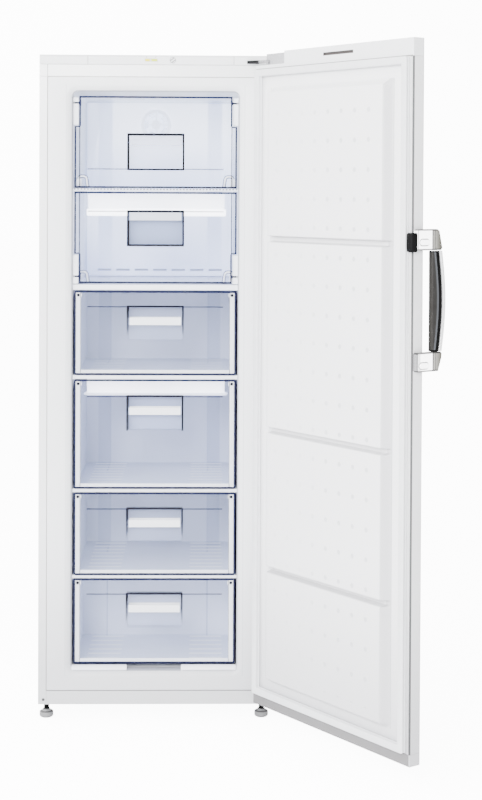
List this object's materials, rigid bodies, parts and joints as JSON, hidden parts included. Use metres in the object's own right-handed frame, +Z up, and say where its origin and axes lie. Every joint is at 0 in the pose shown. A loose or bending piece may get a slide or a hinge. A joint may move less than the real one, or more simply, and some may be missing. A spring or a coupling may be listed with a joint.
{
  "type": "upright freezer",
  "caption": "tall upright freezer standing with its door swung wide open, tilting flaps above pull-out drawers with recessed grips, and a lever handle on the door's edge",
  "frame": {"origin": "on the floor, under the middle of the box that holds the cabinet and its open door", "axes": "+X to the right as seen from the front, +Y from the front to the back, +Z up"},
  "size_m": [0.976, 1.0952, 1.7155],
  "materials": {
    "white_steel": "gloss",
    "white_plastic": "satin",
    "foam": "matte",
    "clear_blue": "gloss",
    "frosted": "satin",
    "black_plastic": "satin",
    "black_enamel": "satin",
    "chrome": "polished",
    "dark_grip": "satin",
    "gasket": "matte",
    "zinc_steel": "satin",
    "aluminium": "satin",
    "lamp": "gloss",
    "foot_plastic": "matte",
    "grey_plastic": "satin"
  },
  "bodies": {
    "cabinet": {"back_panel": "white_steel", "base_plate": "zinc_steel", "bottom_hinge_bracket": "zinc_steel", "cabinet_foam": "foam", "compressor": "black_enamel", "condenser_coil": "black_enamel", "control_panel": "white_plastic", "drip_tray": "black_plastic", "duct_panel": "white_plastic", "evaporator": "aluminium", "fan_guard": "frosted", "fan_motor": "black_plastic", "front_plinth": "white_steel", "indicator_lamps": "lamp", "inner_liner": "white_plastic", "mains_inlet": "black_plastic", "outer_shell": "white_steel", "pivot_block_lower_left": "frosted", "pivot_block_lower_right": "frosted", "pivot_block_upper_left": "frosted", "pivot_block_upper_right": "frosted", "shelf_1": "frosted", "shelf_2": "frosted", "shelf_3": "frosted", "shelf_4": "frosted", "shelf_5": "frosted", "terminal_box": "black_plastic", "top_hinge_bracket": "black_plastic", "top_panel": "white_plastic"},
    "door": {"door_panel": "white_steel", "door_foam": "foam", "door_liner": "white_plastic", "door_gasket": "gasket", "door_top_cap": "white_plastic", "door_bottom_cap": "white_plastic", "hinge_bush_top": "grey_plastic", "hinge_bush_bottom": "grey_plastic", "handle_mount_upper": "chrome", "handle_mount_lower": "chrome", "screw_cap_upper": "grey_plastic", "screw_cap_lower": "grey_plastic"},
    "handle_lever": {"handle_grip": "dark_grip", "handle_bar": "chrome"},
    "pusher": {"pusher": "black_plastic"},
    "thermostat_knob": {"thermostat_knob": "white_plastic"},
    "fan_blade": {"fan_blade": "black_plastic"},
    "foot_left": {"foot_left": "foot_plastic"},
    "foot_right": {"foot_right": "foot_plastic"},
    "roller_left": {"roller_left": "grey_plastic"},
    "roller_right": {"roller_right": "grey_plastic"},
    "flap_upper": {"flap_upper": "clear_blue"},
    "flap_lower": {"flap_lower": "clear_blue"},
    "drawer_1": {"drawer_1_bin": "frosted", "drawer_1_front": "clear_blue"},
    "drawer_2": {"drawer_2_bin": "frosted", "drawer_2_front": "clear_blue"},
    "drawer_3": {"drawer_3_bin": "frosted", "drawer_3_front": "clear_blue"},
    "drawer_4": {"drawer_4_bin": "frosted", "drawer_4_front": "clear_blue"}
  },
  "joints": [
    {"name": "door_swing", "type": "hinge", "parent": "cabinet", "child": "door", "pos_m": [0.09426, -0.03867, 0.9], "axis": [0, 0, 1], "range_deg": [-125.05, 5]},
    {"name": "handle_pull", "type": "hinge", "parent": "door", "child": "handle_lever", "pos_m": [0.45807, -0.50208, 0.99], "axis": [-0.5743, 0.8187, 0], "range_deg": [0, 2.5]},
    {"name": "pusher_slide", "type": "slide", "parent": "door", "child": "pusher", "axis": [-0.8187, -0.5743, 0], "range_m": [0, 0.0109]},
    {"name": "knob_turn", "type": "hinge", "parent": "cabinet", "child": "thermostat_knob", "pos_m": [-0.14704, 0.00763, 1.701], "axis": [0, -1, 0], "range_deg": [0, 270]},
    {"name": "fan_spin", "type": "hinge", "parent": "cabinet", "child": "fan_blade", "pos_m": [-0.20254, 0.44363, 1.552], "axis": [0, 1, 0], "continuous": true},
    {"name": "flap_upper_tilt", "type": "hinge", "parent": "cabinet", "child": "flap_upper", "pos_m": [-0.19054, 0.03063, 1.592], "axis": [-1, 0, 0], "range_deg": [0, 75]},
    {"name": "flap_lower_tilt", "type": "hinge", "parent": "cabinet", "child": "flap_lower", "pos_m": [-0.19054, 0.03063, 1.145], "axis": [1, 0, 0], "range_deg": [0, 80]},
    {"name": "drawer_1_slide", "type": "slide", "parent": "cabinet", "child": "drawer_1", "axis": [0, -1, 0], "range_m": [0, 0.3]},
    {"name": "drawer_2_slide", "type": "slide", "parent": "cabinet", "child": "drawer_2", "axis": [0, -1, 0], "range_m": [0, 0.3]},
    {"name": "drawer_3_slide", "type": "slide", "parent": "cabinet", "child": "drawer_3", "axis": [0, -1, 0], "range_m": [0, 0.3]},
    {"name": "drawer_4_slide", "type": "slide", "parent": "cabinet", "child": "drawer_4", "axis": [0, -1, 0], "range_m": [0, 0.2]},
    {"name": "foot_left_turn", "type": "hinge", "parent": "cabinet", "child": "foot_left", "pos_m": [-0.46954, 0.04163, 0.02], "axis": [0, 0, 1], "continuous": true},
    {"name": "roller_left_roll", "type": "hinge", "parent": "cabinet", "child": "roller_left", "pos_m": [-0.45254, 0.50363, 0.02], "axis": [1, 0, 0], "continuous": true},
    {"name": "foot_right_turn", "type": "hinge", "parent": "cabinet", "child": "foot_right", "pos_m": [0.08846, 0.04163, 0.02], "axis": [0, 0, 1], "continuous": true},
    {"name": "roller_right_roll", "type": "hinge", "parent": "cabinet", "child": "roller_right", "pos_m": [0.07146, 0.50363, 0.02], "axis": [1, 0, 0], "continuous": true}
  ],
  "couplings": [
    {"joint": "pusher_slide", "follows": "handle_pull", "m_per_rad": 0.25}
  ]
}
